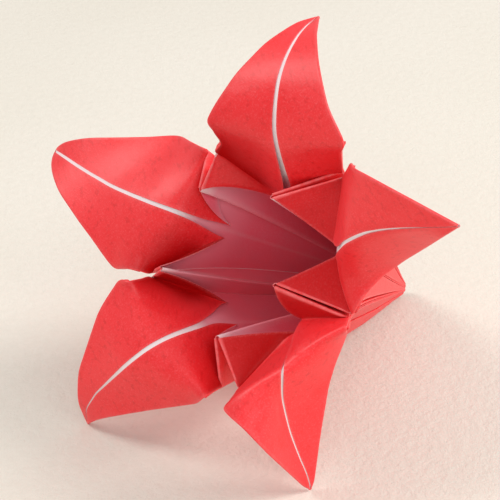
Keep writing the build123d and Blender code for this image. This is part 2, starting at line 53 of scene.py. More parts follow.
# Points on the middle of the wall: rows are the stations, columns run across
# a petal from one folded edge over the centre fold to the other.
STATIONS = [0.1500, 0.3000, 0.4500, 0.5800, 0.6800, 0.7548, 0.8000, 0.8500, 0.9064, 0.9800, 1.0200, 1.0600, 1.1000, 1.1400, 1.1800, 1.2100]
PETALS = [
    [
        [(18.96, 21.89, 4.86), (19.37, 21.77, 5.27), (19.79, 21.64, 5.68), (20.21, 21.50, 6.09), (20.64, 21.37, 6.50), (21.08, 21.23, 6.91), (21.51, 21.09, 7.32)],
        [(10.98, 18.52, 9.33), (11.80, 18.36, 10.20), (12.62, 18.18, 11.06), (13.44, 18.03, 11.93), (14.27, 17.90, 12.81), (15.09, 17.79, 13.69), (15.92, 17.68, 14.57)],
        [(3.06, 14.85, 13.63), (4.27, 14.69, 14.98), (5.48, 14.55, 16.34), (6.67, 14.44, 17.70), (7.82, 14.56, 19.11), (8.97, 14.72, 20.52), (10.11, 14.88, 21.92)],
        [(-3.73, 11.24, 17.13), (-2.20, 11.17, 18.94), (-0.69, 11.21, 20.80), (0.80, 11.35, 22.69), (2.14, 11.91, 24.58), (3.47, 12.52, 26.46), (4.79, 13.16, 28.31)],
        [(-8.83, 8.05, 19.58), (-7.10, 8.24, 21.84), (-5.44, 8.63, 24.16), (-3.85, 9.22, 26.49), (-2.37, 10.19, 28.75), (-0.92, 11.24, 31.01), (0.52, 12.34, 33.22)],
        [(-12.57, 5.42, 21.30), (-10.70, 6.07, 24.00), (-9.00, 6.93, 26.69), (-7.38, 7.99, 29.36), (-5.83, 9.25, 31.82), (-4.30, 10.61, 34.30), (-2.79, 12.08, 36.84)],
        [(-14.16, 4.57, 22.48), (-12.75, 6.00, 25.04), (-11.34, 7.45, 27.60), (-9.92, 8.89, 30.16), (-7.90, 10.35, 32.42), (-5.90, 11.92, 34.65), (-3.98, 13.56, 36.81)],
        [(-16.16, 6.27, 21.98), (-14.98, 7.74, 24.82), (-13.72, 9.24, 27.58), (-12.41, 10.82, 30.27), (-10.12, 12.62, 32.35), (-7.75, 14.51, 34.28), (-5.37, 16.43, 36.10)],
        [(-18.56, 9.18, 20.76), (-17.61, 10.50, 24.04), (-16.36, 11.90, 27.13), (-14.84, 13.46, 29.98), (-12.38, 15.53, 31.96), (-9.77, 17.68, 33.70), (-6.98, 19.80, 35.24)],
        [(-21.56, 13.56, 23.31), (-20.45, 14.70, 25.48), (-19.22, 15.86, 27.60), (-17.86, 17.06, 29.60), (-16.03, 18.63, 31.30), (-14.15, 20.22, 32.92), (-12.27, 21.81, 34.51)],
        [(-23.11, 15.75, 24.68), (-21.97, 16.82, 26.37), (-20.77, 17.89, 28.05), (-19.51, 18.96, 29.70), (-18.03, 20.19, 31.23), (-16.52, 21.45, 32.74), (-15.04, 22.68, 34.23)],
        [(-24.54, 18.01, 25.98), (-23.46, 18.95, 27.29), (-22.36, 19.87, 28.61), (-21.24, 20.78, 29.92), (-20.07, 21.74, 31.26), (-18.89, 22.69, 32.60), (-17.74, 23.62, 33.93)],
        [(-25.88, 20.41, 27.07), (-24.88, 21.17, 28.09), (-23.90, 21.91, 29.13), (-22.92, 22.66, 30.17), (-22.03, 23.38, 31.27), (-21.16, 24.10, 32.37), (-20.29, 24.81, 33.47)],
        [(-26.79, 23.06, 27.99), (-26.00, 23.60, 28.74), (-25.21, 24.13, 29.50), (-24.44, 24.66, 30.26), (-23.82, 25.18, 31.06), (-23.22, 25.70, 31.85), (-22.62, 26.22, 32.65)],
        [(-27.27, 25.91, 28.64), (-26.74, 26.22, 29.10), (-26.23, 26.52, 29.55), (-25.73, 26.83, 30.01), (-25.39, 27.15, 30.49), (-25.05, 27.47, 30.99), (-24.72, 27.80, 31.47)],
        [(-27.13, 28.10, 28.96), (-26.91, 28.23, 29.17), (-26.71, 28.37, 29.39), (-26.51, 28.51, 29.60), (-26.36, 28.65, 29.82), (-26.19, 28.79, 30.04), (-26.04, 28.92, 30.26)],
    ],
    [
        [(21.49, 22.15, 8.03), (22.03, 21.79, 8.05), (22.59, 21.42, 8.07), (23.13, 21.05, 8.09), (23.62, 20.71, 8.15), (24.11, 20.36, 8.21), (24.60, 20.02, 8.26)],
        [(15.96, 19.10, 15.72), (17.04, 18.38, 15.76), (18.13, 17.65, 15.80), (19.23, 16.93, 15.82), (20.22, 16.26, 15.94), (21.22, 15.58, 16.07), (22.22, 14.89, 16.20)],
        [(10.42, 15.88, 23.34), (11.98, 14.72, 23.31), (13.56, 13.58, 23.30), (15.14, 12.47, 23.28), (16.70, 11.54, 23.53), (18.26, 10.61, 23.79), (19.82, 9.67, 24.06)],
        [(5.59, 12.92, 29.87), (7.47, 11.28, 29.68), (9.42, 9.71, 29.50), (11.44, 8.17, 29.37), (13.55, 7.12, 29.82), (15.66, 6.11, 30.31), (17.76, 5.09, 30.83)],
        [(1.67, 10.54, 34.79), (3.86, 8.50, 34.41), (6.19, 6.51, 34.07), (8.56, 4.60, 33.82), (11.13, 3.42, 34.41), (13.71, 2.40, 35.14), (16.25, 1.48, 35.97)],
        [(-1.63, 8.74, 38.42), (1.67, 6.45, 37.97), (4.84, 4.22, 37.66), (7.99, 2.11, 37.50), (10.39, 0.69, 37.99), (12.81, -0.44, 38.71), (15.22, -1.32, 39.71)],
        [(-0.85, 7.31, 40.90), (1.98, 5.28, 40.48), (4.79, 3.09, 40.18), (7.55, 0.86, 39.97), (9.95, -0.66, 40.59), (12.43, -1.94, 41.32), (15.00, -2.98, 42.10)],
        [(-1.61, 6.04, 43.42), (1.30, 4.08, 43.13), (4.18, 2.10, 42.95), (7.00, 0.05, 42.83), (9.49, -1.72, 43.46), (12.10, -3.35, 44.10), (14.81, -4.80, 44.68)],
        [(-2.13, 6.14, 45.52), (0.52, 3.91, 45.76), (3.48, 2.03, 45.94), (6.62, 0.39, 46.09), (9.25, -1.84, 46.43), (12.06, -3.93, 46.72), (15.03, -5.90, 46.93)],
        [(0.57, 6.60, 49.47), (2.64, 4.86, 49.89), (4.84, 3.26, 50.21), (7.17, 1.78, 50.44), (9.23, 0.15, 50.75), (11.30, -1.48, 51.04), (13.34, -3.15, 51.34)],
        [(2.29, 7.32, 51.33), (4.09, 5.88, 51.75), (5.93, 4.51, 52.10), (7.80, 3.17, 52.38), (9.56, 1.82, 52.68), (11.29, 0.45, 52.98), (12.99, -0.95, 53.30)],
        [(4.29, 8.27, 52.84), (5.76, 7.15, 53.22), (7.25, 6.04, 53.57), (8.75, 4.95, 53.88), (10.13, 3.86, 54.18), (11.50, 2.75, 54.49), (12.83, 1.64, 54.80)],
        [(6.34, 9.49, 54.13), (7.53, 8.64, 54.39), (8.71, 7.79, 54.65), (9.88, 6.96, 54.88), (10.92, 6.14, 55.16), (11.93, 5.31, 55.44), (12.92, 4.47, 55.73)],
        [(8.58, 10.84, 54.93), (9.43, 10.26, 55.09), (10.26, 9.68, 55.26), (11.09, 9.11, 55.43), (11.78, 8.55, 55.65), (12.46, 7.98, 55.87), (13.14, 7.42, 56.09)],
        [(10.87, 12.36, 55.40), (11.37, 12.00, 55.44), (11.87, 11.64, 55.49), (12.35, 11.28, 55.54), (12.76, 10.96, 55.67), (13.16, 10.65, 55.80), (13.54, 10.34, 55.93)],
        [(12.66, 13.39, 55.37), (12.89, 13.22, 55.38), (13.12, 13.05, 55.39), (13.35, 12.88, 55.41), (13.51, 12.76, 55.50), (13.66, 12.63, 55.58), (13.82, 12.51, 55.66)],
    ],
    [
        [(24.21, 19.62, 7.94), (24.07, 19.23, 7.49), (23.95, 18.85, 7.03), (23.81, 18.47, 6.57), (23.70, 18.11, 6.12), (23.58, 17.73, 5.67), (23.47, 17.36, 5.22)],
        [(21.53, 14.27, 15.70), (21.30, 13.49, 14.78), (21.07, 12.71, 13.87), (20.85, 11.93, 12.95), (20.64, 11.17, 12.05), (20.42, 10.42, 11.14), (20.21, 9.67, 10.24)],
        [(18.94, 8.89, 23.46), (18.63, 7.70, 22.09), (18.33, 6.51, 20.73), (18.03, 5.33, 19.35), (17.77, 4.18, 17.99), (17.52, 3.02, 16.64), (17.26, 1.87, 15.29)],
        [(16.98, 4.13, 30.22), (16.53, 2.62, 28.46), (16.08, 1.11, 26.70), (15.66, -0.39, 24.91), (15.51, -1.94, 23.17), (15.39, -3.52, 21.43), (15.26, -5.09, 19.71)],
        [(15.80, 0.42, 35.48), (15.13, -1.34, 33.41), (14.46, -3.08, 31.31), (13.83, -4.81, 29.19), (13.91, -6.69, 27.15), (14.14, -8.62, 25.12), (14.48, -10.58, 23.16)],
        [(15.17, -2.35, 39.48), (14.57, -4.48, 36.89), (14.00, -6.55, 34.31), (13.53, -8.60, 31.73), (13.47, -10.53, 29.64), (13.83, -12.57, 27.64), (14.61, -14.68, 25.79)],
        [(15.32, -4.56, 41.37), (14.68, -6.67, 38.75), (14.04, -8.81, 36.14), (13.48, -10.94, 33.52), (13.68, -12.45, 31.72), (14.60, -13.79, 30.05), (16.03, -14.76, 28.54)],
        [(15.47, -6.96, 43.43), (14.74, -9.10, 40.83), (14.08, -11.29, 38.27), (13.59, -13.48, 35.71), (14.68, -14.32, 33.83), (16.37, -14.45, 32.10), (18.23, -13.90, 30.47)],
        [(15.63, -9.63, 45.70), (14.79, -11.73, 43.33), (14.28, -13.88, 40.87), (14.23, -16.01, 38.35), (16.56, -15.86, 36.09), (18.96, -14.85, 34.08), (21.09, -13.12, 32.23)],
        [(15.75, -14.34, 47.75), (15.99, -15.91, 45.62), (16.37, -17.35, 43.45), (17.06, -18.55, 41.25), (19.10, -18.03, 39.46), (21.20, -17.25, 37.76), (23.25, -16.31, 36.08)],
        [(16.86, -17.03, 48.37), (17.34, -18.20, 46.40), (17.91, -19.25, 44.42), (18.67, -20.09, 42.43), (20.33, -19.64, 40.91), (22.08, -19.05, 39.48), (23.85, -18.41, 38.08)],
        [(18.31, -19.63, 48.69), (18.86, -20.43, 46.97), (19.47, -21.16, 45.24), (20.18, -21.76, 43.53), (21.48, -21.44, 42.29), (22.84, -21.03, 41.12), (24.22, -20.58, 40.00)],
        [(19.95, -22.11, 48.80), (20.46, -22.62, 47.40), (21.00, -23.11, 45.99), (21.59, -23.52, 44.61), (22.52, -23.34, 43.66), (23.47, -23.08, 42.75), (24.45, -22.80, 41.88)],
        [(21.70, -24.47, 48.78), (22.11, -24.78, 47.74), (22.51, -25.08, 46.71), (22.95, -25.35, 45.70), (23.51, -25.27, 45.03), (24.08, -25.16, 44.38), (24.65, -25.03, 43.73)],
        [(23.52, -26.75, 48.65), (23.76, -26.92, 48.03), (24.00, -27.07, 47.43), (24.25, -27.23, 46.83), (24.50, -27.21, 46.43), (24.76, -27.19, 46.03), (25.02, -27.18, 45.64)],
        [(24.90, -28.43, 48.52), (25.00, -28.50, 48.24), (25.10, -28.57, 47.96), (25.19, -28.65, 47.68), (25.29, -28.67, 47.49), (25.39, -28.68, 47.29), (25.49, -28.68, 47.10)],
    ],
    [
        [(23.94, 17.42, 5.57), (23.56, 17.37, 5.11), (23.18, 17.33, 4.66), (22.81, 17.28, 4.19), (22.41, 17.21, 3.70), (22.02, 17.13, 3.20), (21.63, 17.06, 2.71)],
        [(21.04, 9.79, 10.88), (20.25, 9.73, 9.99), (19.45, 9.67, 9.11), (18.65, 9.61, 8.23), (17.83, 9.51, 7.26), (17.01, 9.40, 6.30), (16.19, 9.29, 5.34)],
        [(18.33, 2.00, 16.06), (17.03, 2.02, 14.81), (15.73, 2.03, 13.57), (14.42, 2.04, 12.34), (13.15, 1.90, 10.92), (11.90, 1.76, 9.51), (10.65, 1.62, 8.09)],
        [(16.24, -5.00, 20.27), (14.37, -4.77, 18.89), (12.48, -4.54, 17.51), (10.61, -4.33, 16.10), (8.94, -4.51, 14.28), (7.34, -4.73, 12.42), (5.77, -4.95, 10.55)],
        [(14.88, -10.62, 23.24), (12.43, -10.02, 22.01), (9.99, -9.48, 20.68), (7.62, -9.06, 19.18), (5.62, -9.29, 16.98), (3.69, -9.60, 14.71), (1.86, -9.93, 12.43)],
        [(14.11, -14.88, 25.30), (11.56, -14.00, 24.18), (9.17, -13.39, 22.68), (6.95, -13.02, 20.87), (4.18, -13.10, 18.60), (1.46, -13.29, 16.24), (-1.31, -13.61, 13.78)],
        [(13.65, -17.34, 26.28), (11.17, -16.59, 25.01), (8.78, -15.99, 23.52), (6.51, -15.55, 21.83), (3.68, -15.56, 19.45), (0.89, -15.67, 17.04), (-1.90, -15.86, 14.71)],
        [(13.35, -18.16, 25.92), (10.58, -18.65, 25.14), (7.93, -18.72, 23.92), (5.48, -18.69, 22.24), (2.72, -18.49, 20.22), (0.06, -18.40, 18.06), (-2.54, -18.37, 15.78)],
        [(13.35, -16.05, 23.14), (10.64, -18.11, 22.22), (7.67, -19.76, 21.64), (4.54, -20.96, 21.26), (1.50, -21.19, 20.55), (-1.21, -21.15, 19.05), (-3.25, -20.86, 16.74)],
        [(11.52, -15.87, 17.67), (9.23, -17.51, 17.16), (6.83, -19.04, 16.76), (4.40, -20.46, 16.44), (3.09, -22.40, 16.32), (1.43, -24.01, 16.29), (-0.60, -25.12, 16.19)],
        [(10.70, -16.19, 14.87), (8.70, -17.54, 14.50), (6.68, -18.88, 14.14), (4.67, -20.26, 13.82), (3.61, -22.13, 13.72), (2.43, -23.94, 13.74), (1.12, -25.66, 13.84)],
        [(10.08, -16.81, 12.11), (8.36, -17.89, 11.82), (6.67, -19.02, 11.55), (5.01, -20.21, 11.28), (4.11, -21.79, 11.21), (3.26, -23.41, 11.19), (2.43, -25.03, 11.22)],
        [(9.44, -17.54, 9.40), (8.11, -18.43, 9.20), (6.80, -19.34, 8.98), (5.53, -20.29, 8.79), (4.80, -21.48, 8.74), (4.13, -22.68, 8.70), (3.48, -23.90, 8.68)],
        [(8.85, -18.35, 6.71), (7.93, -19.03, 6.57), (7.02, -19.71, 6.43), (6.14, -20.40, 6.30), (5.55, -21.15, 6.25), (4.99, -21.90, 6.22), (4.44, -22.67, 6.19)],
        [(8.29, -19.19, 4.02), (7.78, -19.58, 3.96), (7.28, -19.96, 3.90), (6.78, -20.35, 3.83), (6.34, -20.74, 3.78), (5.89, -21.14, 3.74), (5.46, -21.53, 3.69)],
        [(7.87, -19.79, 2.01), (7.63, -19.94, 1.99), (7.37, -20.10, 1.97), (7.13, -20.25, 1.95), (6.85, -20.43, 1.91), (6.57, -20.60, 1.86), (6.28, -20.77, 1.82)],
    ],
    [
        [(20.21, 18.06, 1.68), (19.93, 18.54, 1.94), (19.66, 19.03, 2.19), (19.38, 19.51, 2.45), (19.08, 20.00, 2.72), (18.78, 20.48, 3.01), (18.47, 20.96, 3.28)],
        [(13.73, 11.03, 3.65), (13.17, 12.01, 4.17), (12.61, 12.99, 4.69), (12.05, 13.97, 5.20), (11.44, 14.92, 5.73), (10.83, 15.89, 6.25), (10.21, 16.84, 6.78)],
        [(7.47, 3.93, 6.01), (6.70, 5.39, 6.92), (5.92, 6.86, 7.81), (5.12, 8.31, 8.71), (4.15, 9.75, 9.38), (3.17, 11.18, 10.04), (2.20, 12.61, 10.67)],
        [(2.33, -2.32, 8.47), (1.49, -0.46, 9.87), (0.61, 1.44, 11.24), (-0.32, 3.35, 12.55), (-1.66, 5.20, 13.32), (-3.05, 7.05, 13.99), (-4.46, 8.87, 14.57)],
        [(-1.31, -7.26, 10.67), (-2.12, -5.05, 12.51), (-3.06, -2.79, 14.27), (-4.15, -0.48, 15.91), (-5.77, 1.74, 16.83), (-7.49, 3.94, 17.60), (-9.27, 6.08, 18.20)],
        [(-3.75, -11.07, 12.46), (-4.53, -8.64, 14.38), (-5.50, -6.27, 16.15), (-6.64, -3.86, 17.74), (-8.47, -1.19, 19.03), (-10.48, 1.48, 20.22), (-12.69, 4.13, 21.42)],
        [(-4.90, -13.40, 13.65), (-6.03, -10.85, 15.34), (-7.23, -8.28, 16.99), (-8.51, -5.71, 18.54), (-10.29, -3.11, 19.92), (-12.11, -0.52, 21.31), (-13.99, 1.97, 22.74)],
        [(-6.18, -14.96, 14.14), (-7.83, -12.42, 15.86), (-9.53, -9.82, 17.28), (-11.24, -7.23, 18.60), (-12.70, -4.79, 20.23), (-14.07, -2.37, 22.00), (-15.43, 0.10, 23.84)],
        [(-7.83, -13.05, 11.68), (-10.42, -11.79, 13.52), (-12.56, -9.99, 15.41), (-14.33, -7.78, 17.16), (-15.63, -4.92, 19.16), (-16.68, -1.90, 21.04), (-17.38, 1.30, 22.77)],
        [(-11.96, -10.35, 9.16), (-13.94, -9.37, 10.71), (-15.80, -8.20, 12.29), (-17.50, -6.81, 13.89), (-18.68, -4.68, 15.41), (-19.73, -2.45, 16.88), (-20.69, -0.18, 18.31)],
        [(-14.25, -9.07, 7.93), (-15.87, -8.14, 9.27), (-17.45, -7.11, 10.62), (-18.96, -5.99, 11.96), (-20.02, -4.33, 13.23), (-20.99, -2.59, 14.49), (-21.89, -0.83, 15.71)],
        [(-16.56, -7.90, 6.73), (-17.85, -7.00, 7.83), (-19.13, -6.08, 8.92), (-20.38, -5.11, 10.01), (-21.32, -3.88, 11.02), (-22.21, -2.61, 12.04), (-23.05, -1.32, 13.06)],
        [(-18.82, -6.72, 5.51), (-19.81, -5.90, 6.36), (-20.81, -5.07, 7.21), (-21.79, -4.23, 8.06), (-22.60, -3.36, 8.80), (-23.39, -2.48, 9.57), (-24.18, -1.59, 10.35)],
        [(-20.90, -5.39, 4.18), (-21.62, -4.76, 4.75), (-22.32, -4.11, 5.32), (-23.04, -3.48, 5.89), (-23.64, -2.88, 6.40), (-24.22, -2.27, 6.92), (-24.81, -1.68, 7.44)],
        [(-22.71, -3.94, 2.63), (-23.14, -3.52, 2.97), (-23.58, -3.11, 3.31), (-24.03, -2.69, 3.66), (-24.38, -2.33, 3.93), (-24.74, -1.97, 4.20), (-25.10, -1.62, 4.47)],
        [(-23.85, -2.83, 1.28), (-23.98, -2.60, 1.47), (-24.11, -2.38, 1.65), (-24.24, -2.15, 1.82), (-24.43, -1.94, 1.97), (-24.62, -1.74, 2.11), (-24.82, -1.54, 2.25)],
    ],
]
TIPS = [(-26.71, 29.95, 28.93), (14.00, 14.31, 55.14), (26.10, -29.87, 48.41), (7.26, -20.07, 0.33), (-24.33, -1.64, 0.16)]
RIDGE_ENDS = [(-4.31, 8.28, 33.09), (5.48, 0.06, 35.80), (4.81, -8.66, 27.28), (-3.69, -7.65, 18.44), (-10.98, 3.36, 23.30)]
ROOT_CORNERS = [((-0.60, 10.68, 24.78), (-1.65, 10.44, 22.93)), ((10.06, 5.81, 30.74), (8.65, 5.88, 30.84)), ((13.13, -8.95, 31.35), (12.96, -7.84, 32.71)), ((7.61, -8.93, 19.38), (8.15, -8.46, 21.04)), ((-2.09, 7.17, 13.41), (-0.83, 2.58, 12.89))]
ROOT_AT = [(0.620, 0.615), (0.630, 0.630), (0.755, 0.755), (0.680, 0.680), (0.565, 0.595)]   # where each corner lies along the centre fold
EDGE_MIDS = [((-3.10, 9.32, 28.69), (-6.28, 6.83, 23.02)), ((7.77, 2.94, 33.27), (1.22, 7.75, 32.96)), ((8.97, -8.81, 29.32), (9.22, -3.89, 34.26)), ((1.54, -8.19, 19.06), (5.79, -8.89, 23.66)), ((-6.28, 5.41, 18.58), (-2.54, -2.46, 15.78))]   # halfway from a pleat to each corner
POINT = (26.95, 24.96, 0.20)

CAM_AT = (1.862, -173.554, 144.531)
CAM_RIGHT = (0.996195, -0.048737, -0.072255)
CAM_UP = (0.087156, 0.557065, 0.825883)
CAM_BACK = (0.000000, -0.829038, 0.559193)

# how far up the petal each front ply's lift and slide at its root reach, and
# how high its corner stands off the wall
FALL = [(0.30, 0.30), (0.30, 0.30), (0.16, 0.16), (0.26, 0.26), (0.30, 0.30)]
SLIDE = [(0.12, 0.12), (0.12, 0.12), (0.10, 0.10), (0.10, 0.10), (0.14, 0.12)]
LIFT = [(0.7, 0.7), (0.45, 0.45), (0.4, 0.4), (0.6, 0.6), (0.7, 0.7)]

STATIONS = np.array(STATIONS)
PETALS = np.array(PETALS)
TIPS = np.array(TIPS)
RIDGE_ENDS = np.array(RIDGE_ENDS)
ROOT_CORNERS = np.array(ROOT_CORNERS)
EDGE_MIDS = np.array(EDGE_MIDS)
POINT = np.array(POINT)
AT, RIGHT, UP, BACK = map(np.array, (CAM_AT, CAM_RIGHT, CAM_UP, CAM_BACK))

SLIT = [1.0, 0.95, 0.8, 1.6, 0.8]           # least width of each pleat at the petals
RIDGE_HALF = [0.55, 0.32, 0.32, 0.38, 0.36]  # half width of each ridge at its end
BOW = [1.0, 0.0, 0.0, 0.5, -0.9]            # how far each ridge bows, across the view
BEND = [0.55, 0.5, 0.0, 0.45, 0.55]         # how softly the front plies bend at the root
# painted shade: how much darker the red is painted at each root, standing in for the shade that falls there: by the
# pleat, at the fold on both sides of it, and how far up the petal that reaches
ROOT_PAINTED_SHADE = [
    ((0.20, 0.40, 0.40, 0.14), (0.35, 0.80, 0.85, 0.20)),
    ((0.30, 0.40, 0.40, 0.14), (0.00, 0.60, 1.00, 0.26)),
    ((0.60, 0.75, 0.20, 0.14), (0.55, 0.70, 0.20, 0.14)),
    ((0.60, 1.00, 0.05, 0.10), (0.60, 0.70, 0.15, 0.14)),
    ((0.80, 0.95, 0.95, 0.22), (0.50, 0.70, 0.75, 0.20)),
]
# half of the white stripe, from the root to the tip, on each petal
STRIPE = [
    [0.34, 0.30, 0.26, 0.24, 0.22, 0.16],
    [0.60, 0.40, 0.34, 0.32, 0.26, 0.14],
    [0.06, 0.26, 0.24, 0.16, 0.06, 0.03],
    [0.16, 0.18, 0.18, 0.17, 0.15, 0.08],
    [0.34, 0.37, 0.35, 0.27, 0.12, 0.06],
]


def unit(v):
    return v / np.maximum(np.linalg.norm(v, axis=-1, keepdims=True), 1e-12)


def akima(x, y, xq):
    """Smooth curve through y at x, read at xq, with little overshoot at a fold."""
    x, xq = np.asarray(x, float), np.asarray(xq, float)
    h = np.diff(x)
    shape = (-1,) + (1,) * (y.ndim - 1)
    m = np.diff(y, axis=0) / h.reshape(shape)
    first = 2 * m[:1] - m[1:2]
    last = 2 * m[-1:] - m[-2:-1]
    m = np.concatenate([2 * first - m[:1], first, m, last, 2 * last - m[-1:]])
    d = np.linalg.norm(np.diff(m, axis=0), axis=-1, keepdims=True)
    w1, w2 = d[2:] + 1e-9, d[:-2] + 1e-9
    slope = (w1 * m[1:-2] + w2 * m[2:-1]) / (w1 + w2)
    n = np.clip(np.searchsorted(x, xq) - 1, 0, len(h) - 1)
    u = ((xq - x[n]) / h[n]).reshape(shape)
    hh = h[n].reshape(shape)
    return ((1 + 2 * u) * (1 - u) ** 2 * y[n] + u * (1 - u) ** 2 * hh * slope[n]
            + u * u * (3 - 2 * u) * y[n + 1] + u * u * (u - 1) * hh * slope[n + 1])


def half_width(a):
    """Half width of a petal at a station, in apothems."""
    a = np.asarray(a, float)
    return np.where(a <= OW, a * NARROW, (OC - a) * (OW * NARROW) / (OC - OW))


# widen the pleats that are almost shut, half to each side
ROOT = 5
for k in range(5):
    i, j = k, (k + 1) % 5
    away = unit(PETALS[j, ROOT, 0] - PETALS[i, ROOT, 6])
    for m in range(ROOT + 3):
        share = min(1.0, STATIONS[m] / OT) * (1.0, 0.55, 0.2)[max(0, m - ROOT)]
        short = SLIT[k] * share - float((PETALS[j, min(m, ROOT), 0] - PETALS[i, min(m, ROOT), 6]) @ away)
        if m > ROOT:
            short = max(0.0, SLIT[k] - float((PETALS[j, ROOT, 0] - PETALS[i, ROOT, 6]) @ away)) * share
        if short > 0:
            for c, f in ((6, 0.5), (5, 0.24), (4, 0.06)):
                PETALS[i, m, c] -= away * short * f
                PETALS[j, m, 6 - c] += away * short * f

# the petals are cupped at the root: their edges stand towards the mouth's
# viewer and the paper beside them lies deeper
CUP = [(0.2, 0.3), (0.2, 1.0), (0.4, 0.4), (0.0, 0.1), (0.5, 0.35)]
for i in range(5):
    for m, f in ((ROOT - 1, 0.25), (ROOT, 0.8), (ROOT + 1, 1.0), (ROOT + 2, 0.7), (ROOT + 3, 0.35)):
        for side, (c6, c5, c4) in ((0, (6, 5, 4)), (1, (0, 1, 2))):
            h = CUP[i][side] * f
            PETALS[i, m, c6] += BACK * h * 0.9
            PETALS[i, m, c5] -= BACK * h * 0.8
            PETALS[i, m, c4] -= BACK * h * 0.35

# dense pages: point, white-side normal and outward direction across the petal
A_AX = np.linspace(0.0, OC, 619)
T_AX = np.linspace(-1.0, 1.0, 61)
PAGE, NORM = [], []
mouth = RIDGE_ENDS.mean(axis=0)
for i in range(5):
    rows = np.concatenate([np.broadcast_to(POINT, (1, 7, 3)), PETALS[i], np.broadcast_to(TIPS[i], (1, 7, 3))])
    at = np.concatenate([[0.0], STATIONS, [OC]])
    cols = akima(at, rows, A_AX)
    grid = akima(np.linspace(-1, 1, 7), cols.transpose(1, 0, 2), T_AX).transpose(1, 0, 2)
    da = np.gradient(grid, A_AX, axis=0)
    dt = np.gradient(grid, T_AX, axis=1)
    n = np.cross(da, dt)
    first = int(0.12 / A_AX[1])
    n[:first] = n[first]
    last = int((OC - 0.02) / A_AX[1])
    n[last:] = n[last]
    n = unit(n)
    mid = int(0.45 / A_AX[1])
    inside = POINT + (mouth - POINT) * 0.45 / OT - grid[mid, 30]
    if n[mid, 30] @ inside < 0:
        n = -n
    PAGE.append(grid)
    NORM.append(n)


def read(table, a, t):
    a, t = np.broadcast_arrays(np.asarray(a, float), np.asarray(t, float))
    x = np.clip(a / OC * (len(A_AX) - 1), 0, len(A_AX) - 1.0001)
    y = np.clip((t + 1) / 2 * (len(T_AX) - 1), 0, len(T_AX) - 1.0001)
    x0, y0 = x.astype(int), y.astype(int)
    fx, fy = (x - x0)[..., None], (y - y0)[..., None]
    return ((table[x0, y0] * (1 - fx) + table[x0 + 1, y0] * fx) * (1 - fy)
            + (table[x0, y0 + 1] * (1 - fx) + table[x0 + 1, y0 + 1] * fx) * fy)


def page(i, a, t):
    return read(PAGE[i], a, t)


def norm(i, a, t):
    return unit(read(NORM[i], a, t))


def across(i, s, a):
    """Unit direction out of the petal at its edge, square to the normal."""
    d = page(i, a, s) - page(i, a, s * 0.9)
    n = norm(i, a, s)
    return unit(d - n * np.sum(d * n, axis=-1, keepdims=True))


def ridge_line(k, share):
    share = np.asarray(share, float)[..., None]
    return POINT + (RIDGE_ENDS[k] - POINT) * share + UP * BOW[k] * 4 * share * (1 - share)


# each ridge stands clear of the pages beside it, on the funnel's inside
SHARES = np.linspace(0, 1, 61)
CLEAR = np.zeros((5, 61, 3))
for k in range(5):
    straight = ridge_line(k, SHARES)
    for m in range(1, 61):
        need = 0.9 * min(1.0, SHARES[m] / 0.45)
        for i in (k, (k + 1) % 5) * 3:
            P, N = page(i, SHARES[m] * OT, T_AX), norm(i, SHARES[m] * OT, T_AX)
            q = straight[m] + CLEAR[k, m]
            c = int(np.argmin(np.linalg.norm(P - q, axis=1)))
            short = need - float((q - P[c]) @ N[c])
            if short > 0:
                CLEAR[k, m] += N[c] * short
    for turn_no in range(12):
        CLEAR[k, 1:-1] = 0.5 * CLEAR[k, 1:-1] + 0.25 * (CLEAR[k, :-2] + CLEAR[k, 2:])


def ridge(k, share):
    share = np.asarray(share, float)
    return ridge_line(k, share) + np.stack([np.interp(share, SHARES, CLEAR[k, :, c]) for c in range(3)], axis=-1)


def pleat_away(k):
    i, j = k, (k + 1) % 5
    return unit(page(j, OT, -1.0) - page(i, OT, 1.0))


